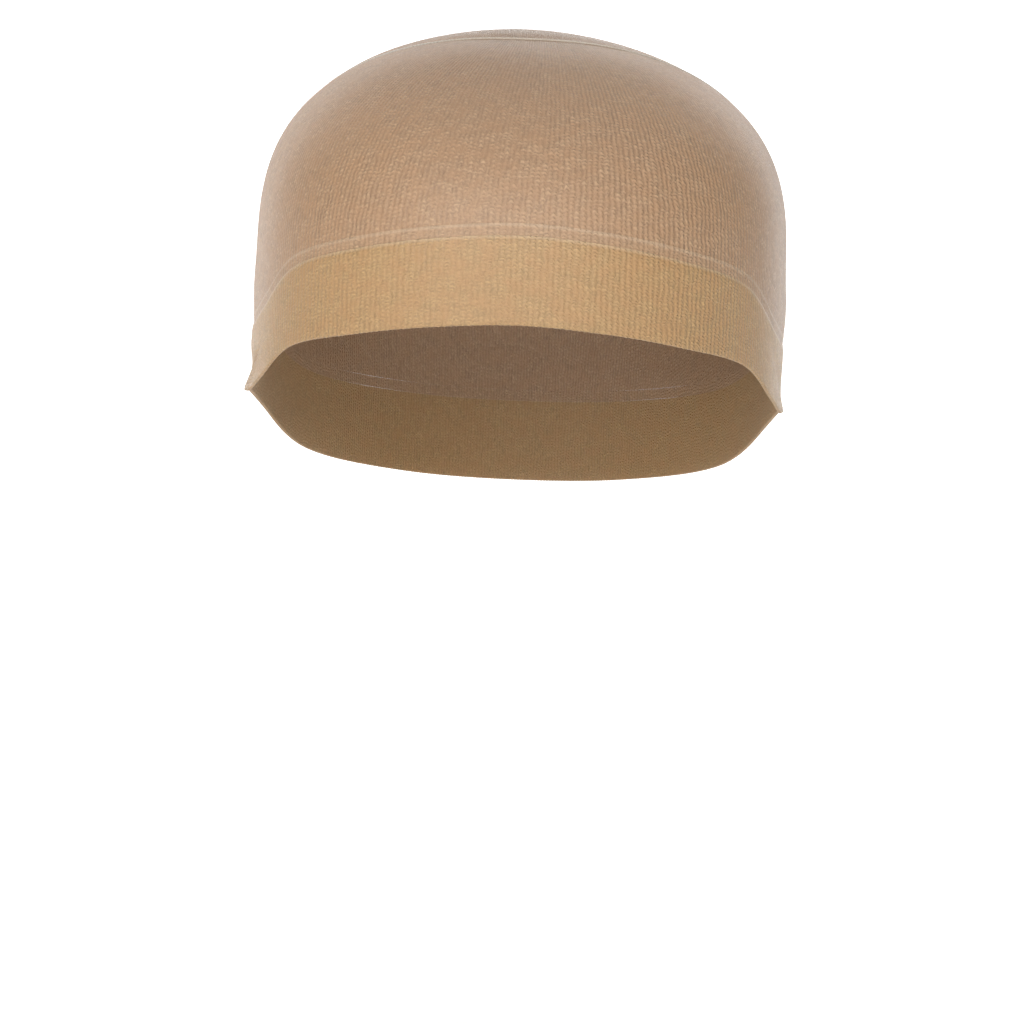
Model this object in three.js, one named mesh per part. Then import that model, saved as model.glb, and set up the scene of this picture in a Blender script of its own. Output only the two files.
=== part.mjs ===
// A knitted stocking wig cap in the form it has while worn: a sheer crown, a denser strip of knit
// above the band, a double elastic band turned over at the rim, and the seam that closes the top.
// Millimetres, +Z up. The front faces -Y, and the origin is the inside top, where the head's top sits.

import * as THREE from 'three';

// Driving dimensions of the hollow, measured on the inside of the knit
const HEAD_HALF_WIDTH = 74.3;
const HEAD_FRONT = 89;
const HEAD_BACK = 97;
const HEAD_RISE = 67.4;
const SIDE_FALL = 600;
const PLAN_POWER = 2.42;
const CROWN_POWER = 1.89;
const SHOULDER_POWER = 3.15;
const NAPE_TUCK = 11;
const TUCK_START_SHARE = 0.25;
const BACK_SLOPE = 16;
const BROW_SLOPE = 7;

// Driving dimensions of the rim and the band, measured down from the inside top
const FRONT_DEPTH = 74.4;
const NAPE_DEPTH = 139;
const BAND_WIDTH = 23.8;
const AFTER_WELT_WIDTH = 3.2;

// Walls, and the gap that is left between neighbouring pieces
const CROWN_WALL = 1;
const AFTER_WELT_WALL = 1.2;
const BAND_WALL = 1.6;
const BAND_LIP = 0.25;
const BAND_LIP_WIDTH = 0.9;
const PIECE_GAP = 0.4;

// Driving dimensions of the closing seam and of the fullness behind it
const SEAM_FORWARD = 23;
const SEAM_ENDS_BACK = 38;
const SEAM_REACH_DEGREES = 68;
const SEAM_WIDTH = 2;
const SEAM_HEIGHT = 0.7;
const SEAM_GAP = 0.3;
const PUFF_HEIGHT = 1.3;
const PUFF_RISE = 5;
const PUFF_REACH = 38;
const PUFF_SPAN = 0.8;
const PUFF_LEAN = 0.14;
const FOLD_DEPTH = 3;

// How finely the surfaces are faceted: columns follow the knit's ribs from the rim up to the seam
const COLUMNS = 88;
const COLUMN_CROWDING_DEGREES = 14;
const CROWN_ROWS = 20;
const ROW_CROWDING = 1.3;
const BAND_ROWS = 4;
const RIM_STEPS = 4;

// The rim's height: the share of the way from the front depth down to the nape depth
const RIM_LINE = [
  { turn: 0, share: 0 },
  { turn: 16, share: 0.028 },
  { turn: 30, share: 0.085 },
  { turn: 46, share: 0.19 },
  { turn: 60, share: 0.36 },
  { turn: 75, share: 0.455 },
  { turn: 92, share: 0.47 },
  { turn: 112, share: 0.6 },
  { turn: 136, share: 0.84 },
  { turn: 160, share: 0.97 },
  { turn: 180, share: 1 },
];

// The band's height on the head: a share of its width, less where the rim rides up over the ears
const BAND_LINE = [
  { turn: 0, share: 1 },
  { turn: 30, share: 0.97 },
  { turn: 46, share: 0.95 },
  { turn: 60, share: 0.88 },
  { turn: 75, share: 0.84 },
  { turn: 95, share: 0.85 },
  { turn: 120, share: 0.95 },
  { turn: 180, share: 1 },
];

// Creases and flares over the ears: where each lies round the head and down the band, how far it
// spreads each way, and its lift as a share of the fold depth, less than 0 for a crease
const FOLDS = [
  { turn: -90, turnSpread: 17, down: 1.15, downSpread: 0.42, lift: 0.95 },
  { turn: -84, turnSpread: 6, down: 0.55, downSpread: 0.3, lift: -0.5 },
  { turn: -87, turnSpread: 11, down: 0.12, downSpread: 0.25, lift: 0.22 },
  { turn: 90, turnSpread: 15, down: 1.15, downSpread: 0.4, lift: 0.6 },
  { turn: 74, turnSpread: 4.5, down: 0.6, downSpread: 0.45, lift: -0.26 },
  { turn: 83, turnSpread: 4.5, down: 0.45, downSpread: 0.4, lift: -0.34 },
  { turn: 78.5, turnSpread: 3.5, down: 0.5, downSpread: 0.4, lift: 0.14 },
];

const SIDE_TURN = 90;
const HALF_TURN = 180;
const HALVINGS = 40;
const NEARLY_NOTHING = 1e-6;
const degrees = THREE.MathUtils.degToRad;

// A smooth curve through a table's rows: each slope is taken from the two neighbouring rows
function readLine(table, turn) {
  const at = Math.abs(turn);
  let row = 0;
  while (row < table.length - 2 && at > table[row + 1].turn) row += 1;
  const slopeAt = (index) => {
    const before = table[Math.max(index - 1, 0)];
    const after = table[Math.min(index + 1, table.length - 1)];
    const isEnd = index === 0 || index === table.length - 1;
    return isEnd ? 0 : (after.share - before.share) / (after.turn - before.turn);
  };
  const start = table[row];
  const end = table[row + 1];
  const span = end.turn - start.turn;
  const t = (at - start.turn) / span;
  const rise = t * t * (3 - 2 * t);
  const leave = t * (1 - t) * (1 - t) * span * slopeAt(row);
  const arrive = t * t * (t - 1) * span * slopeAt(row + 1);
  return start.share + (end.share - start.share) * rise + leave + arrive;
}

const rimDrop = (turn) => FRONT_DEPTH + (NAPE_DEPTH - FRONT_DEPTH) * readLine(RIM_LINE, turn);
const bandDrop = (turn) => rimDrop(turn) - BAND_WIDTH * readLine(BAND_LINE, turn);
const afterWeltDrop = (turn) => bandDrop(turn) - AFTER_WELT_WIDTH;

const lengthwise = (y) => (y < 0 ? HEAD_FRONT : HEAD_BACK);

// How far out a point lies in plan: 1 on the widest outline
function planShare(x, y) {
  const across = Math.abs(x / HEAD_HALF_WIDTH) ** PLAN_POWER;
  const along = Math.abs(y / lengthwise(y)) ** PLAN_POWER;
  return (across + along) ** (1 / PLAN_POWER);
}

// The plan's scale at a height over the widest level: full there, closing at the top
function planScale(height) {
  if (height < 0) return Math.sqrt(1 - (height / SIDE_FALL) ** 2);
  return (1 - Math.min(height / HEAD_RISE, 1) ** SHOULDER_POWER) ** (1 / CROWN_POWER);
}

// The head's surface at a turn from the front, towards +X, and a drop below the inside top
function surfaceAt(turn, drop) {
  const x = Math.sin(degrees(turn));
  const y = -Math.cos(degrees(turn));
  const height = HEAD_RISE - drop;
  const scale = planScale(height) / planShare(x, y);
  return new THREE.Vector3(x * scale, y * scale, height);
}

// The head's surface in a direction from the middle of its widest level, found by halving the range
function surfaceAlong(direction) {
  const share = planShare(direction.x, direction.y);
  let inside = 0;
  let outside = 2 * (HEAD_BACK + HEAD_RISE);
  for (let step = 0; step < HALVINGS; step += 1) {
    const reach = (inside + outside) / 2;
    const height = reach * direction.z;
    const fits = height < HEAD_RISE && reach * share < planScale(height);
    if (fits) inside = reach;
    else outside = reach;
  }
  return direction.clone().multiplyScalar(inside);
}

// The outward direction of the surface, from the slopes of the formula that shapes it
function outwardAt(point) {
  const share = Math.max(planShare(point.x, point.y), NEARLY_NOTHING);
  const isAbove = point.z > 0;
  const planPower = isAbove ? CROWN_POWER : 2;
  const pull = planPower * share ** (planPower - PLAN_POWER);
  const slope = (value, size) =>
    (pull * Math.sign(value) * Math.abs(value / size) ** (PLAN_POWER - 1)) / size;
  const heightPower = isAbove ? SHOULDER_POWER : 2;
  const heightSize = isAbove ? HEAD_RISE : SIDE_FALL;
  const rise =
    (heightPower * Math.sign(point.z) * Math.abs(point.z / heightSize) ** (heightPower - 1)) / heightSize;
  const outward = new THREE.Vector3(
    slope(point.x, HEAD_HALF_WIDTH),
    slope(point.y, lengthwise(point.y)),
    rise,
  );
  return outward.normalize();
}

const bell = (distance, spread) => Math.exp(-((distance / spread) ** 2));

// How far the folds over the ears lift the knit off the head at a point of its surface
function foldLift(point) {
  const turn = THREE.MathUtils.radToDeg(Math.atan2(point.x, -point.y));
  const top = bandDrop(turn);
  const down = (HEAD_RISE - point.z - top) / (rimDrop(turn) - top);
  let lift = 0;
  for (const fold of FOLDS) {
    lift += fold.lift * bell(turn - fold.turn, fold.turnSpread) * bell(down - fold.down, fold.downSpread);
  }
  return FOLD_DEPTH * lift;
}

// A finished point: lifted off the head's surface, drawn in where the head slopes at the back of
// the crown, the brow and the nape, and set on the origin
function finish(point, out) {
  const placed = point.clone().addScaledVector(outwardAt(point), out + foldLift(point));
  const above = Math.max(point.z / HEAD_RISE, 0);
  const tuckStart = HEAD_RISE + (NAPE_DEPTH - HEAD_RISE) * TUCK_START_SHARE;
  const below = Math.max(HEAD_RISE - point.z - tuckStart, 0) / (NAPE_DEPTH - tuckStart);
  const back = Math.max(point.y / HEAD_BACK, 0);
  const front = Math.max(-point.y / HEAD_FRONT, 0);
  placed.y -= (BACK_SLOPE * above ** 2 + NAPE_TUCK * below ** 2) * back;
  placed.y += BROW_SLOPE * above ** 2 * front;
  placed.z -= HEAD_RISE;
  return placed;
}

// Turns of the columns from the back round the front to the back again, closer together over the
// ears. Their number is a multiple of 4, so that each front column has its partner at the back.
const turns = Array.from({ length: COLUMNS }, (_, column) => {
  const even = (column / COLUMNS) * 2 * HALF_TURN - HALF_TURN;
  return even + COLUMN_CROWDING_DEGREES * Math.sin(2 * degrees(even));
});

// How far along the seam a rib meets it: 0 in the middle, 1 and -1 at its ends over the ears
function seamShare(turn) {
  const fromFront = Math.abs(turn);
  const folded = fromFront > SIDE_TURN ? HALF_TURN - fromFront : fromFront;
  return (Math.sign(turn) * folded) / SIDE_TURN;
}

// The seam's line: across the top from side to side, with its ends bowed back
function seamPoint(share) {
  const side = degrees(SEAM_REACH_DEGREES * share);
  const forward = SEAM_FORWARD - (SEAM_FORWARD + SEAM_ENDS_BACK) * share * share;
  const tilt = Math.atan2(forward, HEAD_RISE);
  const direction = new THREE.Vector3(
    Math.sin(side) * Math.cos(tilt),
    -Math.sin(tilt),
    Math.cos(side) * Math.cos(tilt),
  );
  return surfaceAlong(direction);
}

// A rib's point on the head's surface: it leaves the band upright and bends over to the seam
function ribPoint(turn, drop, climb) {
  const foot = surfaceAt(turn, drop).normalize();
  const end = seamPoint(seamShare(turn)).normalize();
  const knee = new THREE.Vector3(foot.x, foot.y, (foot.z + end.z) / 2);
  const direction = foot
    .multiplyScalar((1 - climb) ** 2)
    .addScaledVector(knee, 2 * climb * (1 - climb))
    .addScaledVector(end, climb ** 2);
  return surfaceAlong(direction.normalize());
}

// The fullness behind the seam: it swells just behind the ridge and fades down the back
function puffLift(point) {
  const side = THREE.MathUtils.radToDeg(Math.atan2(point.x, point.z));
  const share = THREE.MathUtils.clamp(side / SEAM_REACH_DEGREES, -1, 1);
  const ridge = seamPoint(share);
  if (point.y <= ridge.y) return 0;
  const clear = Math.max(point.distanceTo(ridge) - SEAM_WIDTH, 0);
  const middle = Math.max(1 - ((share + PUFF_LEAN) / PUFF_SPAN) ** 2, 0) ** 2;
  return PUFF_HEIGHT * middle * (1 - Math.exp(-clear / PUFF_RISE)) * Math.exp(-clear / PUFF_REACH);
}

// A closed mesh from rows of points that run round the cap; a closed section also joins its last
// row to its first, and an open one is zipped up where the front and back ribs meet
function knitted(rows, isSectionClosed) {
  const positions = rows.flat().flatMap((point) => point.toArray());
  const count = rows[0].length;
  const faces = [];
  const lastRow = isSectionClosed ? rows.length : rows.length - 1;
  for (let row = 0; row < lastRow; row += 1) {
    const next = (row + 1) % rows.length;
    for (let column = 0; column < count; column += 1) {
      const beside = (column + 1) % count;
      const a = row * count + column;
      const b = row * count + beside;
      const c = next * count + column;
      const d = next * count + beside;
      faces.push(a, c, d, a, d, b);
    }
  }
  return meshGeometry(positions, faces);
}

// A closed mesh from loops of points carried along the seam, with a fan of faces on each end
function roped(loops) {
  const size = loops[0].length;
  const positions = loops.flat().flatMap((point) => point.toArray());
  const faces = [];
  for (let loop = 0; loop < loops.length - 1; loop += 1) {
    for (let side = 0; side < size; side += 1) {
      const beside = (side + 1) % size;
      const a = loop * size + side;
      const b = loop * size + beside;
      faces.push(a, b, b + size, a, b + size, a + size);
    }
  }
  const last = (loops.length - 1) * size;
  for (let side = 1; side < size - 1; side += 1) {
    faces.push(0, side + 1, side);
    faces.push(last, last + side, last + side + 1);
  }
  return meshGeometry(positions, faces);
}

function meshGeometry(positions, faces) {
  const geometry = new THREE.BufferGeometry();
  geometry.setAttribute('position', new THREE.Float32BufferAttribute(positions, 3));
  geometry.setIndex(faces);
  geometry.computeVertexNormals();
  return geometry;
}

function piece(name, geometry, color, roughness) {
  const material = new THREE.MeshStandardMaterial({ color, roughness, metalness: 0 });
  const mesh = new THREE.Mesh(geometry, material);
  mesh.name = name;
  return mesh;
}

// The crown: from the seam down its outside, over its lower edge and up its inside
function crownGeometry() {
  const climbs = Array.from({ length: CROWN_ROWS + 1 }, (_, row) => 1 - (row / CROWN_ROWS) ** ROW_CROWDING);
  const rowAt = (climb, wall) =>
    turns.map((turn) => {
      const point = ribPoint(turn, afterWeltDrop(turn) - PIECE_GAP, climb);
      return finish(point, wall + puffLift(point));
    });
  const outside = climbs.map((climb) => rowAt(climb, CROWN_WALL));
  const inside = climbs.map((climb) => rowAt(climb, 0)).reverse();
  return knitted([...outside, ...inside], false);
}

// The denser strip between the crown and the band
function afterWeltGeometry() {
  const corners = [
    { drop: (turn) => afterWeltDrop(turn), out: 0 },
    { drop: (turn) => afterWeltDrop(turn), out: AFTER_WELT_WALL },
    { drop: (turn) => bandDrop(turn) - PIECE_GAP, out: AFTER_WELT_WALL },
    { drop: (turn) => bandDrop(turn) - PIECE_GAP, out: 0 },
  ];
  const rows = corners.map(({ drop, out }) => turns.map((turn) => finish(surfaceAt(turn, drop(turn)), out)));
  return knitted(rows, true);
}

// The double band: a lip along its top edge, a flat outside, a round turned rim and a flat inside
function weltBandGeometry() {
  const rimRadius = BAND_WALL / 2;
  const face = (share) => (turn) => {
    const top = bandDrop(turn) + BAND_LIP_WIDTH;
    return top + share * (rimDrop(turn) - rimRadius - top);
  };
  const section = [
    { drop: bandDrop, out: 0 },
    { drop: bandDrop, out: BAND_WALL + BAND_LIP },
  ];
  for (let row = 0; row <= BAND_ROWS; row += 1) {
    section.push({ drop: face(row / BAND_ROWS), out: BAND_WALL });
  }
  for (let step = 1; step < RIM_STEPS; step += 1) {
    const angle = (step / RIM_STEPS) * Math.PI;
    section.push({
      drop: (turn) => rimDrop(turn) - rimRadius + rimRadius * Math.sin(angle),
      out: rimRadius + rimRadius * Math.cos(angle),
    });
  }
  for (let row = BAND_ROWS; row >= 1; row -= 1) {
    section.push({ drop: face(row / BAND_ROWS), out: 0 });
  }
  const rows = section.map(({ drop, out }) => turns.map((turn) => finish(surfaceAt(turn, drop(turn)), out)));
  return knitted(rows, true);
}

// The closing seam: a low round ridge that lies on the crown along the line where the ribs meet
function toeSeamGeometry() {
  const frontTurns = turns.slice(COLUMNS / 4, (3 * COLUMNS) / 4 + 1);
  const half = SEAM_WIDTH / 2;
  const section = [
    { across: -half, up: 0 },
    { across: -half, up: SEAM_HEIGHT / 2 },
    { across: -half / 2, up: SEAM_HEIGHT },
    { across: half / 2, up: SEAM_HEIGHT },
    { across: half, up: SEAM_HEIGHT / 2 },
    { across: half, up: 0 },
  ];
  const step = 0.01;
  const loops = frontTurns.map((turn) => {
    const share = seamShare(turn);
    const along = seamPoint(share + step).sub(seamPoint(share - step)).normalize();
    const point = seamPoint(share);
    const outward = outwardAt(point);
    const across = along.clone().cross(outward);
    return section.map((corner) => {
      const lifted = finish(point, CROWN_WALL + SEAM_GAP + corner.up);
      return lifted.addScaledVector(across, corner.across);
    });
  });
  return roped(loops);
}

const cap = new THREE.Group();
cap.add(piece('crown', crownGeometry(), 0xb99a7f, 0.75));
cap.add(piece('after_welt', afterWeltGeometry(), 0xc2a386, 0.75));
cap.add(piece('welt_band', weltBandGeometry(), 0xc5a57e, 0.8));
cap.add(piece('toe_seam', toeSeamGeometry(), 0xbcb3a8, 0.7));

export default cap;
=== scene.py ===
"""A knitted stocking wig cap in the form it has while worn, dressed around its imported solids.

The knit is four pieces of one tube: a sheer crown, a denser strip, a double elastic band turned over
at the rim, and the overlocked seam that closes the top. Shapes are worked out in millimetres on the
hollow that the knit follows, and put into the meshes in metres. The front faces -Y.
"""
import logging
import math
from dataclasses import dataclass, field
from enum import Enum
from typing import Any, Callable

import bpy
import numpy as np
from mathutils import Matrix, Vector


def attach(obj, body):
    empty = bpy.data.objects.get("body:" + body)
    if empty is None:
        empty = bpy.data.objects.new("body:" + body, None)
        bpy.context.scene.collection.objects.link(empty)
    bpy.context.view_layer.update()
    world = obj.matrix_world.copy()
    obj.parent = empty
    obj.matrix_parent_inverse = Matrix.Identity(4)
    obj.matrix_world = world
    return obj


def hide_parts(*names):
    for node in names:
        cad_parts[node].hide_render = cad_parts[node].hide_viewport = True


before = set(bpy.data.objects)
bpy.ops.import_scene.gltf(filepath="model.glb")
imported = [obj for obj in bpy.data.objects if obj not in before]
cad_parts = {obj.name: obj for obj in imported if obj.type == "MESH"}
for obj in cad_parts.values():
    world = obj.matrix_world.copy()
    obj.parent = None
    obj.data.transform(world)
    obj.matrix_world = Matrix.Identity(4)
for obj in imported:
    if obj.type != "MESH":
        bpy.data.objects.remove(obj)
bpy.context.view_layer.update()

logging.basicConfig(level=logging.INFO, format="%(levelname)s %(message)s")
log = logging.getLogger("wig_cap")

Array = np.ndarray
MM = 0.001
FULL_TURN = 2 * math.pi
WALE_COUNT = 520
COLUMNS_EACH = 4
NOISE_RANGE = (0.3, 0.7)


def linear(colour: str) -> tuple[float, float, float, float]:
    """Turns an sRGB hex colour to linear light.

    Args:
        colour: six hex digits after a hash.

    Returns:
        Red, green, blue and an alpha of 1, as a shader's socket takes them.
    """
    parts = [int(colour[at : at + 2], 16) / 255 for at in (1, 3, 5)]
    bright = [part / 12.92 if part <= 0.04045 else ((part + 0.055) / 1.055) ** 2.4 for part in parts]
    return bright[0], bright[1], bright[2], 1.0


def unit(vectors: Array) -> Array:
    """The same directions with a length of 1; x, y and z come last."""
    return vectors / np.linalg.norm(vectors, axis=-1, keepdims=True)


def add_node(
    tree: bpy.types.NodeTree, kind: str, inputs: dict | None = None, **settings: Any
) -> bpy.types.Node:
    """Adds a node with its settings and links.

    Args:
        tree: the material's or the world's node tree.
        kind: Blender's name of the node, without its ShaderNode start.
        inputs: what each input takes, by its name or number: an output socket or a plain value.
        settings: the node's own properties.

    Returns:
        The new node.
    """
    node = tree.nodes.new("ShaderNode" + kind)
    for name, value in settings.items():
        setattr(node, name, value)
    for key, value in (inputs or {}).items():
        if isinstance(value, bpy.types.NodeSocket):
            tree.links.new(value, node.inputs[key])
        else:
            node.inputs[key].default_value = value
    return node


def calculate(tree: bpy.types.NodeTree, operation: str, *values: Any) -> bpy.types.NodeSocket:
    """Adds a step of arithmetic on sockets or plain values, and gives its result."""
    return add_node(tree, "Math", dict(enumerate(values)), operation=operation).outputs[0]


def remap(
    tree: bpy.types.NodeTree,
    value: bpy.types.NodeSocket,
    span: tuple[float, float],
    onto: tuple[float, float],
    **settings: Any,
) -> bpy.types.NodeSocket:
    """Adds a step that carries a value from one range onto another.

    Args:
        tree: the material's or the world's node tree.
        value: the value's socket.
        span: the range that it comes from.
        onto: the range that it goes to.
        settings: the node's own properties, such as whether it keeps to the range.

    Returns:
        The result's socket.
    """
    return add_node(tree, "MapRange", dict(enumerate((value, *span, *onto))), **settings).outputs[0]


def mix_colours(tree: bpy.types.NodeTree, share: Any, first: Any, second: Any) -> bpy.types.NodeSocket:
    """Adds a mix of two colours, the second by its share, and gives its result."""
    return add_node(tree, "Mix", {0: share, 6: first, 7: second}, data_type="RGBA").outputs[2]


class Stitch(Enum):
    """The ways in which the yarn of this cap is looped."""

    SHEER = "sheer jersey"
    DENSE = "dense jersey"
    WELT = "double elastic welt"
    OVERLOCK = "overlocked thread"


@dataclass(frozen=True)
class Line:
    """A smooth line round the head, from rows of turn and share.

    A share between two rows is the cubic through both, whose slope at a row is taken from its
    two neighbours and is nothing at the front and the back.
    """

    rows: tuple[tuple[float, float], ...]

    def read(self, turn: Array) -> Array:
        """Reads the line.

        Args:
            turn: degrees from the front, either way.

        Returns:
            The share at each turn.
        """
        turns, shares = np.array(self.rows).T
        slopes = np.zeros_like(shares)
        slopes[1:-1] = (shares[2:] - shares[:-2]) / (turns[2:] - turns[:-2])
        at = np.abs(turn)
        row = np.clip(np.searchsorted(turns, at, side="left") - 1, 0, len(turns) - 2)
        span = turns[row + 1] - turns[row]
        t = (at - turns[row]) / span
        rise = t * t * (3 - 2 * t)
        leave = t * (1 - t) ** 2 * span * slopes[row]
        arrive = t * t * (t - 1) * span * slopes[row + 1]
        return shares[row] + (shares[row + 1] - shares[row]) * rise + leave + arrive


@dataclass(frozen=True)
class Fold:
    """A crease or flare over an ear: where it lies, how far it spreads and its lift in mm.

    A slant moves it by so many degrees for each band width down.
    """

    turn: float
    turn_spread: float
    down: float
    down_spread: float
    lift: float
    slant: float = 0.0


RIM_LINE = Line(
    (
        (0, 0),
        (16, 0.028),
        (30, 0.085),
        (46, 0.174),
        (60, 0.333),
        (75, 0.437),
        (92, 0.465),
        (112, 0.6),
        (136, 0.84),
        (160, 0.97),
        (180, 1),
    )
)
BAND_LINE = Line(
    ((0, 1), (30, 0.97), (46, 0.907), (60, 0.807), (75, 0.791), (95, 0.845), (120, 0.95), (180, 1))
)
FOLDS = (
    Fold(-90, 17, 1.15, 0.32, 2.9),
    Fold(-71, 2.2, 0.74, 0.15, -1.7, -45),
    Fold(-73, 2.6, 0.84, 0.16, 1.0, -50),
    Fold(-90, 14, 0.6, 0.13, -0.6),
    Fold(-88, 13, 0.3, 0.18, 0.4),
    Fold(-90, 18, -0.55, 0.45, 0.6),
    Fold(90, 15, 1.15, 0.4, 1.6),
    Fold(72, 4.0, 0.65, 0.3, -0.7, 30),
    Fold(82, 3.5, 0.7, 0.3, -1.2, 24),
    Fold(77, 2.5, 0.8, 0.3, 0.5, 26),
    Fold(90, 18, -0.5, 0.45, 0.9),
)


@dataclass(frozen=True)
class HeadForm:
    """The hollow that the worn knit follows, in mm, with the middle of its widest level at nothing.

    A point of it lies where the plan's share, the root of |x / half width| and |y / length| each
    raised to the plan power and added, equals the plan's scale at its height. The scale is 1 at the
    widest level, closes at the top by the crown and shoulder powers, and falls slowly below.
    """

    half_width: float = 74.3
    front: float = 89.0
    back: float = 97.0
    rise: float = 67.4
    side_fall: float = 600.0
    plan_power: float = 2.42
    crown_power: float = 1.89
    shoulder_power: float = 3.15
    front_depth: float = 74.4
    nape_depth: float = 139.0
    nape_tuck: float = 11.0
    tuck_start: float = 0.25
    back_slope: float = 16.0
    brow_slope: float = 7.0
    band_width: float = 23.8
    after_welt_width: float = 3.2
    seam_forward: float = 23.0
    seam_ends_back: float = 38.0
    seam_reach: float = 68.0
    seam_skew: float = 0.035
    approach: float = 32.0
    approach_step: float = 0.01
    knee_share: float = 0.3
    puff_height: float = 1.3
    puff_rise: float = 5.0
    puff_reach: float = 38.0
    puff_span: float = 0.8
    puff_lean: float = 0.14
    puff_clear: float = 2.0
    halvings: int = 34

    def rim_drop(self, turn: Array) -> Array:
        """The rim's depth below the top, at a turn in degrees."""
        return self.front_depth + (self.nape_depth - self.front_depth) * RIM_LINE.read(turn)

    def band_drop(self, turn: Array) -> Array:
        """The depth of the band's top edge, at a turn in degrees."""
        return self.rim_drop(turn) - self.band_width * BAND_LINE.read(turn)

    def after_welt_drop(self, turn: Array) -> Array:
        """The depth of the denser strip's top edge, at a turn in degrees."""
        return self.band_drop(turn) - self.after_welt_width

    def lengthwise(self, y: Array) -> Array:
        """The half length in front of the middle or behind it."""
        return np.where(y < 0, self.front, self.back)

    def plan_share(self, x: Array, y: Array) -> Array:
        """How far out a point lies in plan: 1 on the widest outline."""
        across = np.abs(x / self.half_width) ** self.plan_power
        along = np.abs(y / self.lengthwise(y)) ** self.plan_power
        return (across + along) ** (1 / self.plan_power)

    def plan_scale(self, height: Array) -> Array:
        """The plan's scale at a height over the widest level."""
        below = np.sqrt(1 - (np.minimum(height, 0) / self.side_fall) ** 2)
        above = 1 - np.clip(height / self.rise, 0, 1) ** self.shoulder_power
        return np.where(height < 0, below, above ** (1 / self.crown_power))

    def at_turn(self, turn: Array, drop: Array) -> Array:
        """The surface at a turn from the front and a drop below the top.

        Args:
            turn: degrees from the front, towards +X.
            drop: mm below the inside top.

        Returns:
            Points, with x, y and z last.
        """
        turn, drop = np.broadcast_arrays(turn, drop)
        x, y = np.sin(np.radians(turn)), -np.cos(np.radians(turn))
        height = self.rise - drop
        scale = self.plan_scale(height) / self.plan_share(x, y)
        return np.stack((x * scale, y * scale, height), axis=-1)

    def along(self, direction: Array) -> Array:
        """The surface in directions from the middle, found by halving the range of reach.

        Args:
            direction: unit vectors, with x, y and z last.

        Returns:
            The points where they leave the hollow.
        """
        share = self.plan_share(direction[..., 0], direction[..., 1])
        inside = np.zeros_like(share)
        outside = np.full_like(share, 2 * (self.back + self.rise))
        for _ in range(self.halvings):
            reach = (inside + outside) / 2
            height = reach * direction[..., 2]
            fits = (height < self.rise) & (reach * share < self.plan_scale(height))
            inside = np.where(fits, reach, inside)
            outside = np.where(fits, outside, reach)
        return direction * inside[..., None]

    def outward(self, point: Array) -> Array:
        """The outward direction at points of the surface: the slopes of the formula that shapes it."""
        x, y, z = np.moveaxis(point, -1, 0)
        share = np.maximum(self.plan_share(x, y), 1e-6)
        above = z > 0
        power = np.where(above, self.crown_power, 2.0)
        pull = power * share ** (power - self.plan_power)
        length = self.lengthwise(y)
        slope_x = pull * np.sign(x) * np.abs(x / self.half_width) ** (self.plan_power - 1) / self.half_width
        slope_y = pull * np.sign(y) * np.abs(y / length) ** (self.plan_power - 1) / length
        height_power = np.where(above, self.shoulder_power, 2.0)
        size = np.where(above, self.rise, self.side_fall)
        slope_z = height_power * np.sign(z) * np.abs(z / size) ** (height_power - 1) / size
        return unit(np.stack((slope_x, slope_y, slope_z), axis=-1))

    def fold_lift(self, point: Array) -> Array:
        """How far the folds over the ears lift the knit: a sum of bells in turn and in depth."""
        turn = np.degrees(np.arctan2(point[..., 0], -point[..., 1]))
        top = self.band_drop(turn)
        down = (self.rise - point[..., 2] - top) / (self.rim_drop(turn) - top)
        bells = [
            fold.lift
            * np.exp(-(((turn - fold.turn - fold.slant * (down - fold.down)) / fold.turn_spread) ** 2))
            * np.exp(-(((down - fold.down) / fold.down_spread) ** 2))
            for fold in FOLDS
        ]
        return np.sum(bells, axis=0)

    def place(self, point: Array, out: Array | float) -> Array:
        """Finished points: lifted off the surface, drawn in at the crown's back, the brow and the nape.

        Args:
            point: points of the surface, in mm.
            out: how far each stands off it, in mm.

        Returns:
            Points in metres, with the origin at the inside top.
        """
        lift = np.asarray(out + self.fold_lift(point))[..., None]
        placed = point + self.outward(point) * lift
        z, y = point[..., 2], point[..., 1]
        above = np.maximum(z / self.rise, 0)
        start = self.rise + (self.nape_depth - self.rise) * self.tuck_start
        below = np.maximum(self.rise - z - start, 0) / (self.nape_depth - start)
        drawn = (self.back_slope * above**2 + self.nape_tuck * below**2) * np.maximum(y / self.back, 0)
        placed[..., 1] += self.brow_slope * above**2 * np.maximum(-y / self.front, 0) - drawn
        placed[..., 2] -= self.rise
        return placed * MM

    def seam_point(self, share: Array) -> Array:
        """The seam's line, whose ends bow back by the square of the share.

        Args:
            share: from -1 over the right ear to 1 over the left.

        Returns:
            Points of the surface, in mm.
        """
        side = np.radians(self.seam_reach * share)
        forward = self.seam_forward - (self.seam_forward + self.seam_ends_back) * share * share
        tilt = np.arctan2(forward, self.rise)
        across, upright = np.sin(side) * np.cos(tilt), np.cos(side) * np.cos(tilt)
        return self.along(np.stack((across, -np.sin(tilt), upright), axis=-1))

    def seam_tangent(self, share: Array, step: float) -> Array:
        """The seam's direction towards the left ear, from points a step of the share to each side."""
        return unit(self.seam_point(share + step) - self.seam_point(share - step))

    def seam_approach(self, share: Array, fan: Array) -> Array:
        """A point beside the seam for each wale, a little short of where it ends.

        Args:
            share: where each wale meets the seam.
            fan: degrees from straight forward, round the nearer end of the seam, to straight back.

        Returns:
            Points near the surface, in mm.
        """
        seam = self.seam_point(share)
        along = self.seam_tangent(share, self.approach_step)
        forward = np.cross(along, self.outward(seam))
        endward = along * np.sign(share)[..., None]
        spread = np.radians(fan)[..., None]
        return seam + self.approach * (forward * np.cos(spread) + endward * np.sin(spread))

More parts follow.
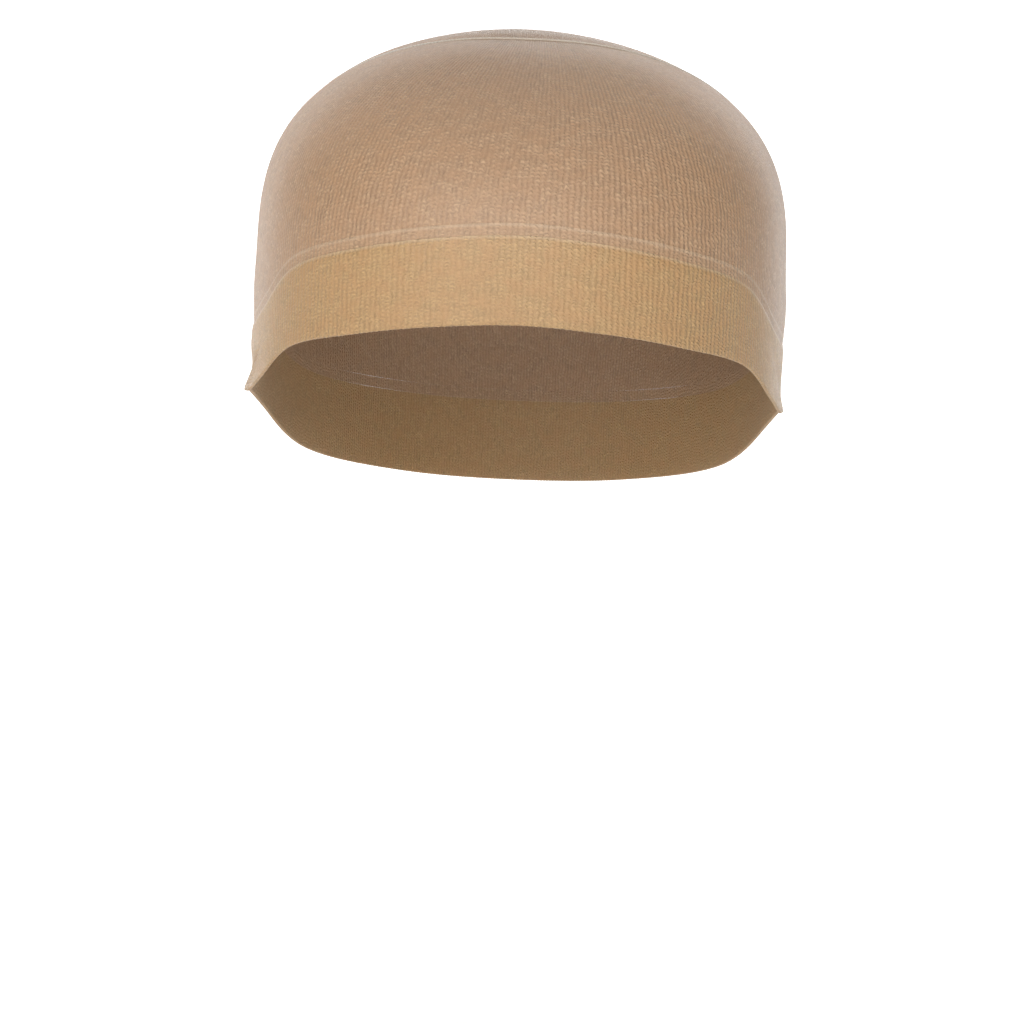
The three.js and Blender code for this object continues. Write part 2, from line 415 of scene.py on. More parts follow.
    def wale_point(self, turn: Array, share: Array, fan: Array, drop: Array, climb: Array) -> Array:
        """A wale's points: it leaves the band upright and bends over to the seam.

        The direction from the middle is a cubic curve of four: the foot, a knee over the foot, the
        approach beside the seam, and the point of the seam.

        Args:
            turn: the degrees of each wale's foot.
            share: where each wale meets the seam.
            fan: the side from which it comes to the seam, in degrees from straight forward.
            drop: the depth of each foot.
            climb: rows from 0 at the foot to 1 at the seam.

        Returns:
            Points of the surface, one row for each climb.
        """
        foot = unit(self.at_turn(turn, drop))
        near = unit(self.seam_approach(share, fan))
        end = unit(self.seam_point(share))
        knee = foot.copy()
        knee[..., 2] += self.knee_share * (near[..., 2] - foot[..., 2])
        c = climb[:, None, None]
        lower = foot * (1 - c) ** 3 + knee * 3 * c * (1 - c) ** 2
        return self.along(unit(lower + near * 3 * c**2 * (1 - c) + end * c**3))

    def puff_lift(self, point: Array) -> Array:
        """The fullness behind the seam: it swells just behind the ridge and fades down the back."""
        share = np.clip(np.degrees(np.arctan2(point[..., 0], point[..., 2])) / self.seam_reach, -1, 1)
        ridge = self.seam_point(share)
        clear = np.maximum(np.linalg.norm(point - ridge, axis=-1) - self.puff_clear, 0)
        middle = np.maximum(1 - ((share + self.puff_lean) / self.puff_span) ** 2, 0) ** 2
        swell = 1 - np.exp(-clear / self.puff_rise)
        lift = self.puff_height * middle * swell * np.exp(-clear / self.puff_reach)
        return np.where(point[..., 1] <= ridge[..., 1], 0, lift)


@dataclass(frozen=True)
class Wales:
    """The upright ribs of the knit, spread along the band, with a few columns of points for each."""

    form: HeadForm
    count: int = WALE_COUNT
    columns_each: int = COLUMNS_EACH
    turn_steps: int = 3600
    stretch: float = 0.16
    crowding: float = 0.8
    crowding_from: float = 80.0
    crowding_over: float = 40.0
    ear_fan: float = 53.0
    fan_power: float = 10.0

    @property
    def columns(self) -> int:
        """How many columns of points go round the cap."""
        return self.count * self.columns_each

    def place_round(self) -> Array:
        """Each column's place round the cap, from -1 at the back over 0 in front."""
        return np.arange(self.columns) / self.columns * 2 - 1

    def turns(self) -> Array:
        """The turn of each column, from the back round the front.

        The columns take even steps along the band's top edge, but for two changes: they lie further
        apart over the brow and the nape, by the square of the cosine of the turn, and closer behind
        the ears, where the knit is less stretched, by a soft step in the turn.
        """
        fine = np.linspace(-180, 180, self.turn_steps + 1)
        line = self.form.at_turn(fine, self.form.band_drop(fine))
        steps = np.linalg.norm(np.diff(line, axis=0), axis=-1)
        middle = (fine[1:] + fine[:-1]) / 2
        behind = np.clip((np.abs(middle) - self.crowding_from) / self.crowding_over, 0, 1)
        steps *= 1 - self.stretch * np.cos(np.radians(middle)) ** 2
        steps *= 1 + self.crowding * behind**2 * (3 - 2 * behind)
        length = np.concatenate(([0], np.cumsum(steps)))
        return np.interp((self.place_round() + 1) / 2, length / length[-1], fine)

    def seam_shares(self) -> Array:
        """Where each column meets the seam: front and back columns pair up, skewed by the knit's twist."""
        q = self.place_round()
        folded = np.where(np.abs(q) > 0.5, 1 - np.abs(q), np.abs(q))
        share = np.sign(q) * folded * 2
        return share + self.form.seam_skew * (1 - share**2)

    def fans(self) -> Array:
        """The side from which each column comes to the seam, in degrees from straight forward.

        Front columns come from the front and back ones from the back. Towards the ends of the seam
        they turn by a power of the place, and meet where the column over the ear comes up.
        """
        q = np.abs(self.place_round())
        bend = np.where(q > 0.5, 2 - 2 * q, 2 * q) ** self.fan_power
        return np.where(q > 0.5, 180 - (180 - self.ear_fan) * bend, self.ear_fan * bend)

    def rib(self) -> Array:
        """The rib's wave over the columns: 1 on a wale, -1 in the groove between two."""
        return np.cos(FULL_TURN * np.arange(self.columns) / self.columns_each)

    def partner(self) -> Array:
        """For each column, the lower numbered one that it meets at the seam."""
        index = np.arange(self.columns)
        half = self.columns // 2
        mirrored = np.where(index <= half, half - index, 3 * half - index)
        return np.minimum(index, mirrored % self.columns)


def put_on_stage(name: str, points: Array, faces: Array, uvs: Array | None = None) -> bpy.types.Object:
    """Makes an object of points and faces, smooth shaded.

    Args:
        name: the object's name.
        points: one row of x, y and z in metres for each point.
        faces: one row of point numbers for each four-sided face.
        uvs: the place on the knit of each face's corners, in wales and mm.

    Returns:
        The object, linked to the scene.
    """
    used, renumbered = np.unique(faces, return_inverse=True)
    faces = renumbered.reshape(faces.shape)
    mesh = bpy.data.meshes.new(name)
    mesh.from_pydata(points[used].tolist(), [], faces.tolist())
    if uvs is not None:
        layer = mesh.uv_layers.new(name="knit")
        layer.data.foreach_set("uv", uvs.astype(np.float32).ravel())
    mesh.polygons.foreach_set("use_smooth", np.ones(len(mesh.polygons), dtype=bool))
    mesh.validate()
    mesh.update()
    piece = bpy.data.objects.new(name, mesh)
    bpy.context.scene.collection.objects.link(piece)
    log.info("%s: %d points, %d triangles", name, len(used), 2 * len(faces))
    return piece


def knitted(
    name: str, rows: Array, down: Array, closed: bool, partner: Array | None = None
) -> bpy.types.Object:
    """A tube of knit from rows of points that run round the cap.

    Args:
        name: the piece's name.
        rows: points in metres, by row and column; the rows run down the outside and up the inside.
        down: each point's place along its wale in mm, with the first column repeated last, and with
            the first row repeated last where the section is closed.
        closed: whether the last row joins the first.
        partner: the column that each one meets on the first and the last row, or None.

    Returns:
        The piece.
    """
    count, columns = rows.shape[:2]
    index = np.arange(count * columns).reshape(count, columns)
    if partner is not None:
        index[0] = partner
        index[-1] = (count - 1) * columns + partner
    index = np.concatenate((index, index[:1])) if closed else index
    index = np.concatenate((index, index[:, :1]), axis=1)
    faces = np.stack((index[:-1, :-1], index[1:, :-1], index[1:, 1:], index[:-1, 1:]), axis=-1)
    wale = np.broadcast_to(np.arange(columns + 1) / COLUMNS_EACH, index.shape)
    flat = np.stack((wale, down), axis=-1)
    uvs = np.stack((flat[:-1, :-1], flat[1:, :-1], flat[1:, 1:], flat[:-1, 1:]), axis=2)
    return put_on_stage(name, rows.reshape(-1, 3), faces.reshape(-1, 4), uvs.reshape(-1, 2))


def lengths_down(rows: Array) -> Array:
    """The length along each column from the first row on, in mm, with the first column repeated last."""
    steps = np.linalg.norm(np.diff(rows, axis=0), axis=-1) / MM
    lengths = np.concatenate((np.zeros((1, rows.shape[1])), np.cumsum(steps, axis=0)))
    return np.concatenate((lengths, lengths[:, :1]), axis=1)


@dataclass(frozen=True)
class KnitFinish:
    """A knitted nylon surface: ridged wales, rows of small loops, a soft pale bloom at its edges.

    Sizes are in mm. One course is a row of loops; real ones are 0.5 to 0.6 mm high, and they are
    drawn coarser so that they show. A fuzz of 0.45 mm stands for the filaments, which are 0.02 mm
    thick and too fine to show. The sway is how far noise bends a wale, in wales.
    """

    name: str
    stitch: Stitch
    # The wales are paler than the grooves: partly the gaps between wales, partly painted highlight on the
    # raised loops and painted shade in the grooves
    wale_and_highlight_colour: str
    groove_and_shade_colour: str
    warm_colour: str
    course: float = 1.2
    relief: float = 0.5
    unevenness: float = 0.8
    grain: float = 0.6
    bend: float = 3.4
    sway: float = 0.2
    row_sway: float = 1.5
    leg_pull: float = 0.1
    phase_spread: float = 0.7
    row_start: float = 0.25
    groove_loops: float = 0.15
    fuzz: float = 0.45
    fuzz_height: float = 0.2
    fuzz_shade: float = 2.0
    relief_reach: float = 1.2
    yarn_reach: float = 1.4
    patch: float = 4.0
    patch_range: tuple[float, float] = (0.38, 0.62)
    patch_strength: float = 0.5
    roughness: float = 0.6
    gloss: float = 0.85
    sheen: float = 0.05
    see_through: float = 0.08
    # A painted highlight along the top edge: its strength, width and colour
    painted_edge_highlight: float = 0.0
    edge_highlight_width: float = 1.5
    edge_highlight_colour: str = "#dccab2"

    @property
    def rib_share(self) -> float:
        """How much of the relief is the wale's ridge; the rest is its loops."""
        shares = {Stitch.SHEER: 0.48, Stitch.DENSE: 0.45, Stitch.WELT: 0.42, Stitch.OVERLOCK: 0.3}
        return shares[self.stitch]

    def noise(self, tree: bpy.types.NodeTree, size: float, detail: float) -> bpy.types.NodeSocket:
        """Adds noise in the object's own space, with blobs of a size in mm."""
        where = add_node(tree, "TexCoord").outputs["Object"]
        inputs = {"Vector": where, "Scale": 1 / MM / size, "Detail": detail}
        return add_node(tree, "TexNoise", inputs).outputs[0]

    def pattern(
        self, tree: bpy.types.NodeTree, across: bpy.types.NodeSocket, down: bpy.types.NodeSocket
    ) -> tuple[bpy.types.NodeSocket, bpy.types.NodeSocket]:
        """Adds the pattern of the knit.

        The relief is a ridge across the wale, the cosine of the place across it, plus the loops: a
        wave along the wale whose phase is pulled back away from its middle, so that each loop shows
        two legs, and differs from wale to wale. Each loop has its own strength of relief and its own
        random shade, paler where that relief is stronger. Noise bends the wales and roughens the yarn.

        Args:
            tree: the material's node tree.
            across: the place across the wales, in wales.
            down: the place along the wale, in mm.

        Returns:
            The relief's height, and how much of the wale's colour shows over the groove's; this follows the
            relief, and so paints highlight on the raised yarn and shade in the grooves.
        """
        shift = remap(
            tree, self.noise(tree, self.bend, 1.0), NOISE_RANGE, (-self.sway, self.sway), clamp=False
        )
        wale = calculate(tree, "ADD", across, shift)
        rib = calculate(tree, "COSINE", calculate(tree, "MULTIPLY", wale, FULL_TURN))
        number = calculate(tree, "WRAP", calculate(tree, "ROUND", wale), float(WALE_COUNT), 0.0)
        own = add_node(tree, "TexWhiteNoise", {"W": number}, noise_dimensions="1D").outputs[0]
        rows = calculate(tree, "MULTIPLY", down, 1 / self.course)
        legs = calculate(tree, "MULTIPLY_ADD", rib, self.leg_pull, rows)
        apart = calculate(tree, "MULTIPLY_ADD", own, self.phase_spread, legs)
        bent = calculate(tree, "MULTIPLY_ADD", shift, self.row_sway, apart)
        loop = calculate(tree, "SINE", calculate(tree, "MULTIPLY", bent, FULL_TURN))
        row = calculate(tree, "FLOOR", calculate(tree, "ADD", bent, self.row_start))
        cell = add_node(tree, "CombineXYZ", {0: number, 1: row}).outputs[0]
        chance = add_node(tree, "TexWhiteNoise", {"Vector": cell}, noise_dimensions="2D").outputs[0]
        strength = remap(tree, chance, (0.0, 1.0), (1 - self.unevenness, 1 + self.unevenness))
        crest = remap(tree, rib, (-1.0, 1.0), (self.groove_loops, 1.0))
        dash = calculate(tree, "MULTIPLY", calculate(tree, "MULTIPLY", loop, crest), strength)
        fine = self.noise(tree, self.fuzz, 1.0)
        fuzz = remap(tree, fine, NOISE_RANGE, (-self.fuzz_height, self.fuzz_height), clamp=False)
        ridge = calculate(tree, "MULTIPLY_ADD", rib, self.rib_share, fuzz)
        both = calculate(tree, "MULTIPLY_ADD", dash, 1 - self.rib_share, ridge)
        height = remap(tree, both, (-self.relief_reach, self.relief_reach), (0.0, 1.0), clamp=False)
        speck = remap(tree, chance, (0.0, 1.0), (-self.grain, self.grain))
        shade = calculate(tree, "MULTIPLY_ADD", fuzz, self.fuzz_shade, speck)
        specked = calculate(tree, "ADD", both, shade)
        return height, remap(tree, specked, (-self.yarn_reach, self.yarn_reach), (0.0, 1.0))

    def material(self) -> bpy.types.Material:
        """Makes the material.

        The yarn is paler on the wales than in the grooves: partly the gaps between the wales, partly
        painted highlight on the raised loops and painted shade in the grooves. It is warmer in soft
        patches. A piece with a painted edge highlight is paler along its top edge, where that edge
        catches the light. A smooth coat over the relief stands for the soft haze that the filaments
        give where they face the light.

        Returns:
            The material, with its colour, relief and bloom from nodes.
        """
        made = bpy.data.materials.new(self.name)
        made.use_nodes = True
        tree = made.node_tree
        tree.nodes.clear()
        place = add_node(tree, "UVMap", uv_map="knit").outputs[0]
        across, down = add_node(tree, "SeparateXYZ", {0: place}).outputs[:2]
        height, yarn = self.pattern(tree, across, down)
        spread = self.noise(tree, self.patch, 3.0)
        patchy = remap(tree, spread, self.patch_range, (0.0, self.patch_strength))
        # Painted highlight and shade: the colour follows the relief, paler on the raised yarn and darker in
        # the grooves
        base = mix_colours(tree, yarn, linear(self.groove_and_shade_colour), linear(self.wale_and_highlight_colour))
        flat = mix_colours(tree, patchy, base, linear(self.warm_colour))
        # Painted highlight: paler along the top edge, where it catches the light
        edge = remap(tree, down, (0.5 * self.edge_highlight_width, self.edge_highlight_width), (self.painted_edge_highlight, 0.0))
        colour = mix_colours(tree, edge, flat, linear(self.edge_highlight_colour))
        bump = add_node(tree, "Bump", {"Height": height, "Strength": 1.0, "Distance": self.relief * MM})
        cloth = add_node(
            tree,
            "BsdfPrincipled",
            {
                "Base Color": colour,
                "Roughness": self.roughness,
                "IOR": 1.5,
                "Specular IOR Level": 0.3,
                "Coat Weight": self.gloss,
                "Coat Roughness": 0.6,
                "Coat IOR": 1.7,
                "Sheen Weight": self.sheen,
                "Sheen Roughness": 0.4,
                "Sheen Tint": linear("#f4f9ff"),
                "Normal": bump.outputs[0],
            },
        )
        through = add_node(tree, "BsdfTranslucent", {"Color": colour})
        shown = add_node(tree, "MixShader", {0: self.see_through, 1: cloth.outputs[0], 2: through.outputs[0]})
        add_node(tree, "OutputMaterial", {0: shown.outputs[0]})
        return made


# Fine nylon stocking yarn knitted in one layer: matt tan, with a pale bloom where it turns away
SHEER_KNIT = KnitFinish("sheer nylon stocking knit", Stitch.SHEER, "#b89673", "#87684b", "#a6805c")
# The same yarn knitted closer: paler loops that stand out one by one, less see-through, and a painted
# highlight along its top edge
DENSE_KNIT = KnitFinish(
    "dense nylon stocking knit",
    Stitch.DENSE,
    "#b89673",
    "#876a4c",
    "#a6815d",
    course=1.0,
    see_through=0.06,
    painted_edge_highlight=0.16,
    edge_highlight_width=1.2,
)
# Nylon over an elastic core, knitted in two layers: opaque golden beige with a small grain, and a painted
# highlight along its top edge
ELASTIC_WELT = KnitFinish(
    "double elastic welt knit",
    Stitch.WELT,
    "#b89462",
    "#896b40",
    "#a77d4d",
    course=1.0,
    see_through=0.03,
    painted_edge_highlight=0.24,
    edge_highlight_width=1.8,
)
# Twisted nylon sewing thread in an overlock: paler and a little smoother than the knit
SEAM_THREAD = KnitFinish(
    "overlocked nylon thread",
    Stitch.OVERLOCK,
    "#c4b9aa",
    "#a89a89",
    "#b5a795",
    course=0.6,
    relief=0.08,
    roughness=0.55,
    see_through=0.0,
)


@dataclass
class Crown:
    """The sheer knit dome: one layer, from the strip above the band up to the closing seam."""

    form: HeadForm
    wales: Wales
    outside: float = 1.0
    thickness: float = 0.45
    rib_height: float = 0.03
    rib_fade: float = 25.0
    edge_gap: float = 0.03
    rows_out: int = 36
    rows_in: int = 7
    row_crowding: float = 1.2
    edge_row: float = 0.0006

    def rows(self, count: int, out: float, rib_height: float) -> Array:
        """The rows of one face, from the seam down to the lower edge, with one more close to that edge.

        Args:
            count: how many steps the face takes.
            out: how far it stands off the hollow, in mm.
            rib_height: half the height of the ribs, in mm, fading to nothing at the seam.

        Returns:
            Points in metres.
        """
        climb = np.append(1 - (np.arange(count) / count) ** self.row_crowding, (self.edge_row, 0.0))
        turn = self.wales.turns()
        drop = self.form.after_welt_drop(turn) - self.edge_gap
        point = self.form.wale_point(turn, self.wales.seam_shares(), self.wales.fans(), drop, climb)
        fade = np.clip((1 - climb) * self.rib_fade, 0, 1)[:, None]
        lift = self.form.puff_lift(point)
        return self.form.place(point, out + lift + rib_height * fade * self.wales.rib())

    def build(self) -> bpy.types.Object:
        """Builds and dresses the crown, and gives it the place of its plain solid."""
        face = self.rows(self.rows_out, self.outside, self.rib_height)
        back = self.rows(self.rows_in, self.outside - self.thickness, 0.0)[::-1]
        rows = np.concatenate((face, back))
        piece = knitted("knit_crown", rows, lengths_down(rows), False, self.wales.partner())
        piece.data.materials.append(SHEER_KNIT.material())
        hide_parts("crown")
        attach(piece, "root")
        return piece


@dataclass
class Section:
    """A closed outline across the knit, carried round the cap.

    Each corner has a function from the turn to its depth, how far out it stands, and the share of
    the ribs' height that it has.
    """

    form: HeadForm
    wales: Wales
    corners: list[tuple[Callable[[Array], Array], float, float]] = field(default_factory=list)

    def add(self, drop: Callable[[Array], Array], out: float, rib: float) -> None:
        """Adds a corner: its depth by turn, how far out it stands in mm, and its ribs' height in mm."""
        self.corners.append((drop, out, rib))

    def rows(self) -> Array:
        """The points of all corners round the cap, in metres."""
        turn, wave = self.wales.turns(), self.wales.rib()
        made = [
            self.form.place(self.form.at_turn(turn, drop(turn)), out + rib * wave)
            for drop, out, rib in self.corners
        ]
        return np.stack(made)

    def build(self, name: str) -> bpy.types.Object:
        """Builds the closed tube of this section."""
        rows = self.rows()
        down = lengths_down(np.concatenate((rows, rows[:1])))
        return knitted(name, rows, down, True)


@dataclass
class AfterWelt:
    """The narrow denser strip above the band, whose top edge is a soft ridge."""

    form: HeadForm
    wales: Wales
    inside: float = 0.55
    outside: float = 1.0
    ridge: float = 0.08
    ridge_width: float = 1.0
    gap: float = 0.03
    rib_height: float = 0.03

    def build(self) -> bpy.types.Object:
        """Builds and dresses the strip.

        Its section runs down the outside: the ridge rises over the first part of the width as half a
        wave, the rest is flat, and the inside runs straight back up.
        """
        top, bottom = self.form.after_welt_drop, self.form.band_drop
        section = Section(self.form, self.wales)
        for share in (0.0, 0.05, 0.25, 0.5, 0.75, 1.0):
            lift = self.ridge * math.sin(math.pi * share)
            section.add(
                lambda turn, s=share: top(turn) + s * self.ridge_width,
                self.outside + lift,
                self.rib_height,
            )
        for share in (0.5, 0.975, 1.0):
            section.add(
                lambda turn, s=share: (1 - s) * (top(turn) + self.ridge_width)
                + s * (bottom(turn) - self.gap),
                self.outside,
                self.rib_height,
            )
        for share in (1.0, 0.98, 0.5, 0.02, 0.0):
            section.add(
                lambda turn, s=share: (1 - s) * top(turn) + s * (bottom(turn) - self.gap), self.inside, 0.0
            )
        piece = section.build("knit_after_welt")
        piece.data.materials.append(DENSE_KNIT.material())
        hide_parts("after_welt")
        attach(piece, "root")
        return piece


@dataclass
class WeltBand:
    """The double elastic band: it swells from its thin top edge to the rim, where the layers turn."""

    form: HeadForm
    wales: Wales
    inside: float = 0.5
    outside: float = 1.45
    lip_outside: float = 1.12
    lip_width: float = 1.8
    round_edge: float = 0.1
    scallop: float = 0.06
    edge_row: float = 0.06
    rib_height: float = 0.035
    face_rows: int = 16
    back_rows: int = 9
    round_steps: int = 8

    def build(self) -> bpy.types.Object:
        """Builds and dresses the band.

        Its section runs out along the top edge and down the outside: a small quarter round, then a
        quarter wave that swells to the flat face. The rim is half a circle that dips by the scallop at
        each wale, and the inside is flat.
        """
        form, wave = self.form, self.wales.rib()
        radius = (self.outside - self.inside) / 2
        section = Section(form, self.wales)
        section.add(lambda turn: form.band_drop(turn) + self.edge_row, self.inside, 0.0)
        section.add(form.band_drop, self.inside, 0.0)
        section.add(form.band_drop, self.lip_outside - self.round_edge, 0.0)
        for angle in np.linspace(math.pi / 6, math.pi / 2, 3):
            section.add(
                lambda turn, a=angle: form.band_drop(turn) + self.round_edge * (1 - math.cos(a)),
                self.lip_outside - self.round_edge * (1 - math.sin(angle)),
                self.rib_height * math.sin(angle),
            )
        start = self.round_edge + self.lip_width
        for share in (0.1, 0.25, 0.45, 0.7, 1.0):
            section.add(
                lambda turn, s=share: form.band_drop(turn) + self.round_edge + s * self.lip_width,
                self.lip_outside + (self.outside - self.lip_outside) * math.sin(math.pi / 2 * share),
                self.rib_height,
            )
        for row in range(1, self.face_rows + 1):
            section.add(
                lambda turn, s=row / self.face_rows: (1 - s) * (form.band_drop(turn) + start)
                + s * (form.rim_drop(turn) - radius),
                self.outside,
                self.rib_height,
            )
        for step in range(1, self.round_steps):
            angle = math.pi * step / self.round_steps
            section.add(
                lambda turn, a=angle: form.rim_drop(turn)
                - radius
                + math.sin(a) * (radius + self.scallop * wave),
                self.inside + radius + radius * math.cos(angle),
                self.rib_height * max(math.cos(angle), 0.0),
            )
        for row in range(self.back_rows, 0, -1):
            section.add(
                lambda turn, s=row / self.back_rows: (1 - s) * form.band_drop(turn)
                + s * (form.rim_drop(turn) - radius),
                self.inside,
                0.0,
            )
        piece = section.build("knit_welt_band")
        piece.data.materials.append(ELASTIC_WELT.material())
        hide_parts("welt_band")
        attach(piece, "root")
        return piece


@dataclass
class ToeSeam:
    """The overlocked closing seam: a low ridge across the top, wrapped in loops of thread."""

    form: HeadForm
    crown_outside: float = 1.0
    half_width: float = 0.65
    height: float = 0.38
    end_height: float = 0.1
    loop_pitch: float = 1.3
    loop_depth: float = 0.12
    loop_lean: float = 0.3
    clear: float = 0.02
    steps_each: int = 8
    length_steps: int = 800
    tangent_step: float = 0.004
    taper: float = 0.015
    tip: float = 0.0004
    wraps: float = 4.0
    corners: tuple[int, ...] = (0, 4, 22, 45, 68, 90, 112, 135, 158, 176, 180, 215, 270, 325)

    def build(self) -> bpy.types.Object:
        """Builds and dresses the seam.

        Its section is the upper half of an oval over a flat underside that lies close on the crown.
        The thread's loops are a wave along the seam, leaning with the place round the section. The
        ridge is lower towards the ears, where the fabric is stretched over it, and its ends narrow to
        a rounded point.
        """
        line = self.form.seam_point(np.linspace(-1, 1, self.length_steps))
        fine = self.form.place(line, self.crown_outside)
        length = float(np.linalg.norm(np.diff(fine, axis=0), axis=-1).sum() / MM)
        loops = int(length / self.loop_pitch)
        count = loops * self.steps_each + 1
        share = np.linspace(-1, 1, count)
        point = self.form.seam_point(share)
        outward = self.form.outward(point)
        across = np.cross(self.form.seam_tangent(share, self.tangent_step), outward)
        base = self.form.place(point, self.crown_outside + self.clear)
        angle = np.radians(self.corners)
        loop = np.arange(count)[:, None] / self.steps_each
        wave = 0.5 + 0.5 * np.cos(FULL_TURN * (loop + self.loop_lean * np.sin(angle)[None]))
        left = 1 - (np.abs(share) - (1 - self.taper)) / self.taper
        ends = np.sqrt(np.clip(left, self.tip, 1))[:, None]
        swell = 1 + self.loop_depth * (wave - 0.5) * 2
        side = self.half_width * np.cos(angle)[None] * swell * ends
        low = (self.end_height + (self.height - self.end_height) * (1 - share**2) ** 2)[:, None]
        up = low * ends * np.maximum(np.sin(angle), 0.0)[None] * swell
        points = base[:, None] + (across[:, None] * side[..., None] + outward[:, None] * up[..., None]) * MM
        index = np.arange(count * len(angle)).reshape(count, len(angle))
        ring = np.concatenate((index, index[:, :1]), axis=1)
        faces = np.stack((ring[:-1, :-1], ring[:-1, 1:], ring[1:, 1:], ring[1:, :-1]), axis=-1)
        along = np.broadcast_to(loop, ring.shape)
        wrap = np.broadcast_to(np.append(angle, FULL_TURN) / FULL_TURN * self.wraps, ring.shape)
        flat = np.stack((along, wrap), axis=-1)
        uvs = np.stack((flat[:-1, :-1], flat[:-1, 1:], flat[1:, 1:], flat[1:, :-1]), axis=2)
        piece = put_on_stage(
            "knit_toe_seam", points.reshape(-1, 3), faces.reshape(-1, 4), uvs.reshape(-1, 2)
        )
        piece.data.materials.append(SEAM_THREAD.material())
        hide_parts("toe_seam")
        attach(piece, "root")
        return piece


@dataclass(frozen=True)
class Softbox:
    """A soft studio light: its place and aim in metres, its two sides and its power in watts."""

    name: str
    place: tuple[float, float, float]
    aim: tuple[float, float, float]
    sides: tuple[float, float]
    watts: float
    colour: str = "#ffffff"

    def build(self) -> bpy.types.Object:
        """Adds the light, unseen by the camera."""
        light = bpy.data.lights.new(self.name, "AREA")
        light.shape = "RECTANGLE"
        light.size, light.size_y = self.sides
        light.energy = self.watts
        light.color = linear(self.colour)[:3]
        lamp = bpy.data.objects.new(self.name, light)
        lamp.location = self.place
        lamp.rotation_euler = (Vector(self.aim) - Vector(self.place)).to_track_quat("-Z", "Y").to_euler()
        lamp.visible_camera = False
        bpy.context.scene.collection.objects.link(lamp)
        return lamp


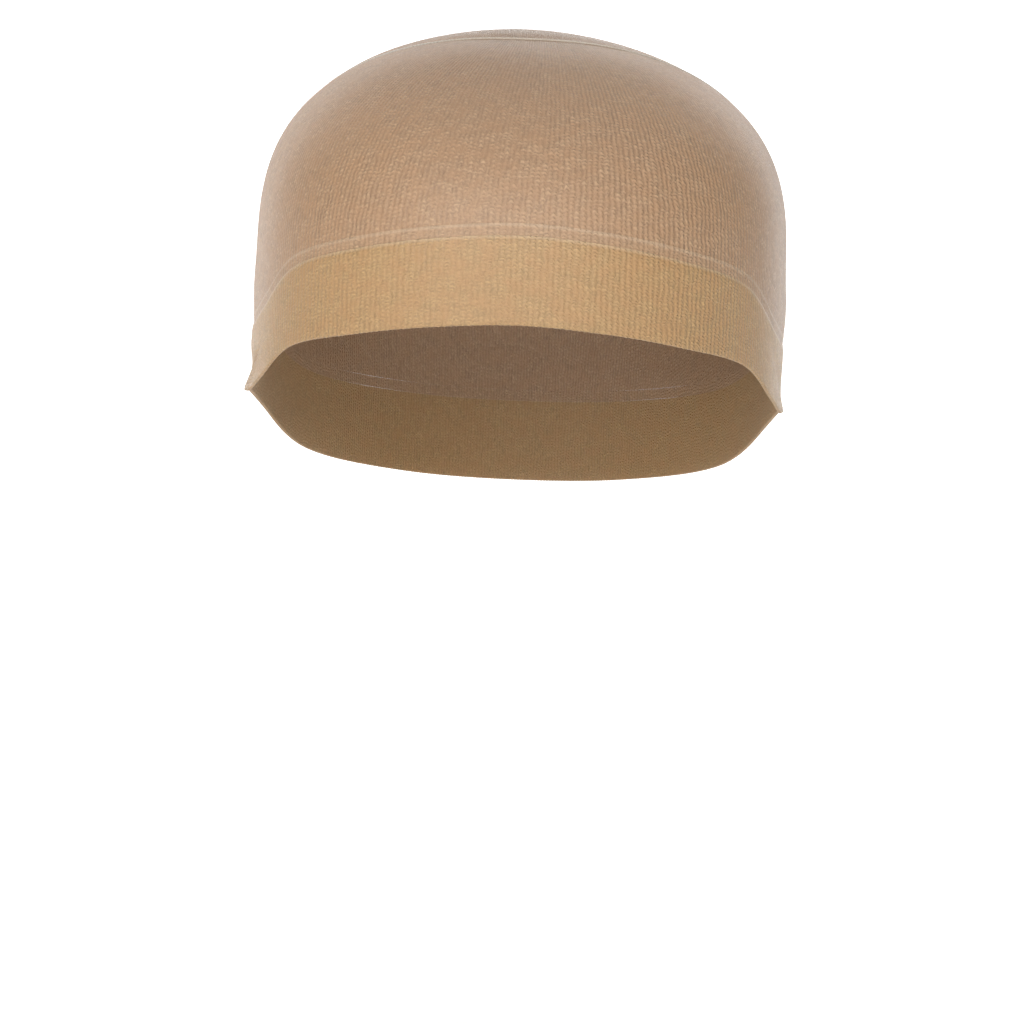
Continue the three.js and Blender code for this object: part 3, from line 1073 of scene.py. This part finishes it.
@dataclass
class Studio:
    """The pale floor, the white surroundings, the lights and the camera."""

    floor_height: float = -0.3
    floor_half: float = 40.0
    horizon: float = 0.07
    zenith: float = 1.0
    behind: float = 0.6
    glow: float = 0.9
    glow_near: float = 0.14
    glow_from: float = 0.5
    glow_full: float = 1.8
    distance: float = 1.2
    elevation: float = 8.0
    roll: float = 2.45
    aim: tuple[float, float, float] = (0.00043, 0.0, -0.137)
    pixels_per_metre: float = 3460.0
    picture: int = 1024
    sensor: float = 36.0
    lights: tuple[Softbox, ...] = (
        Softbox("key_softbox", (-0.36, -1.6, 0.55), (0, 0, -0.06), (0.8, 0.8), 23.0, "#fffaf4"),
        Softbox("left_edge_softbox", (-0.75, 1.1, 0.1), (0, 0, -0.06), (0.4, 1.2), 4.5),
        Softbox("right_edge_softbox", (0.7, 1.2, 0.1), (0, 0, -0.06), (0.4, 1.2), 6.0),
        Softbox("top_edge_softbox", (0.0, 1.5, 0.5), (0, 0, -0.02), (1.2, 0.25), 4.0),
    )

    def build_camera(self) -> bpy.types.Object:
        """Adds the camera: level with the brow, a little over it, with the photograph's slight roll."""
        lens = bpy.data.cameras.new("camera")
        lens.sensor_width = self.sensor
        lens.lens = self.sensor * self.pixels_per_metre * self.distance / self.picture
        lens.clip_end = 200.0
        camera = bpy.data.objects.new("camera", lens)
        tilt, roll = math.radians(self.elevation), math.radians(self.roll)
        aim = Vector(self.aim)
        place = aim + self.distance * Vector((0, -math.cos(tilt), math.sin(tilt)))
        forward = (aim - place).normalized()
        level = forward.cross(Vector((0, 0, 1))).normalized()
        upright = level.cross(forward)
        right = math.cos(roll) * level + math.sin(roll) * upright
        up = right.cross(forward)
        turned = Matrix((right, up, -forward)).transposed().to_4x4()
        camera.matrix_world = Matrix.Translation(place) @ turned
        bpy.context.scene.collection.objects.link(camera)
        bpy.context.scene.camera = camera
        return camera

    def build_floor(self) -> bpy.types.Object:
        """Adds the floor: matt white painted board with a painted glow, faint near the cap and full a way off
        on all sides.
        """
        corners = np.array([(-1, -1), (1, -1), (1, 1), (-1, 1)], dtype=float) * self.floor_half
        points = np.column_stack((corners, np.full(4, self.floor_height)))
        floor = put_on_stage("floor", points, np.array([[0, 1, 2, 3]]))
        paint = bpy.data.materials.new("matt white painted board")
        paint.use_nodes = True
        tree = paint.node_tree
        shader = tree.nodes["Principled BSDF"]
        shader.inputs["Base Color"].default_value = linear("#f7f7f7")
        shader.inputs["Roughness"].default_value = 0.9
        shader.inputs["Specular IOR Level"].default_value = 0.2
        # Painted glow: the board itself gives off light, weakly near the cap and fully a way off, so that it
        # shows white
        shader.inputs["Emission Color"].default_value = linear("#ffffff")
        where = add_node(tree, "TexCoord").outputs["Object"]
        away = add_node(tree, "VectorMath", {0: where}, operation="LENGTH").outputs["Value"]
        span, onto = (self.glow_from, self.glow_full), (self.glow_near, self.glow)
        painted_glow = remap(tree, away, span, onto, interpolation_type="SMOOTHSTEP")
        tree.links.new(painted_glow, shader.inputs["Emission Strength"])
        floor.data.materials.append(paint)
        return floor

    def build(self) -> None:
        """Builds the whole studio.

        The surroundings are white and dim at the horizon. They are brighter overhead by the square of
        the direction's height, and brighter behind the cap by the square of how far it points back.
        """
        world = bpy.data.worlds.new("white surroundings")
        world.use_nodes = True
        tree = world.node_tree
        back = tree.nodes["Background"]
        back.inputs["Color"].default_value = linear("#ffffff")
        direction = add_node(tree, "TexCoord").outputs["Generated"]
        parts = add_node(tree, "SeparateXYZ", {0: direction})
        square = calculate(tree, "MULTIPLY", parts.outputs[2], parts.outputs[2])
        overhead = remap(tree, square, (0.0, 1.0), (self.horizon, self.zenith))
        towards = calculate(tree, "MAXIMUM", parts.outputs[1], 0.0)
        backdrop = calculate(tree, "POWER", towards, 2.0)
        strength = calculate(tree, "MULTIPLY_ADD", backdrop, self.behind, overhead)
        tree.links.new(strength, back.inputs["Strength"])
        bpy.context.scene.world = world
        bpy.context.scene.view_settings.view_transform = "Standard"
        self.build_camera()
        self.build_floor()
        for light in self.lights:
            light.build()
        log.info("studio: %d lights", len(self.lights))


def main() -> None:
    """Builds the cap's pieces in order, then the studio."""
    form = HeadForm()
    wales = Wales(form)
    crown = Crown(form, wales).build()
    strip = AfterWelt(form, wales).build()
    band = WeltBand(form, wales).build()
    seam = ToeSeam(form).build()
    # The tube of knit is about 400 mm round and 115 mm long before it is stretched over a head
    Studio().build()


if __name__ == "__main__":
    main()
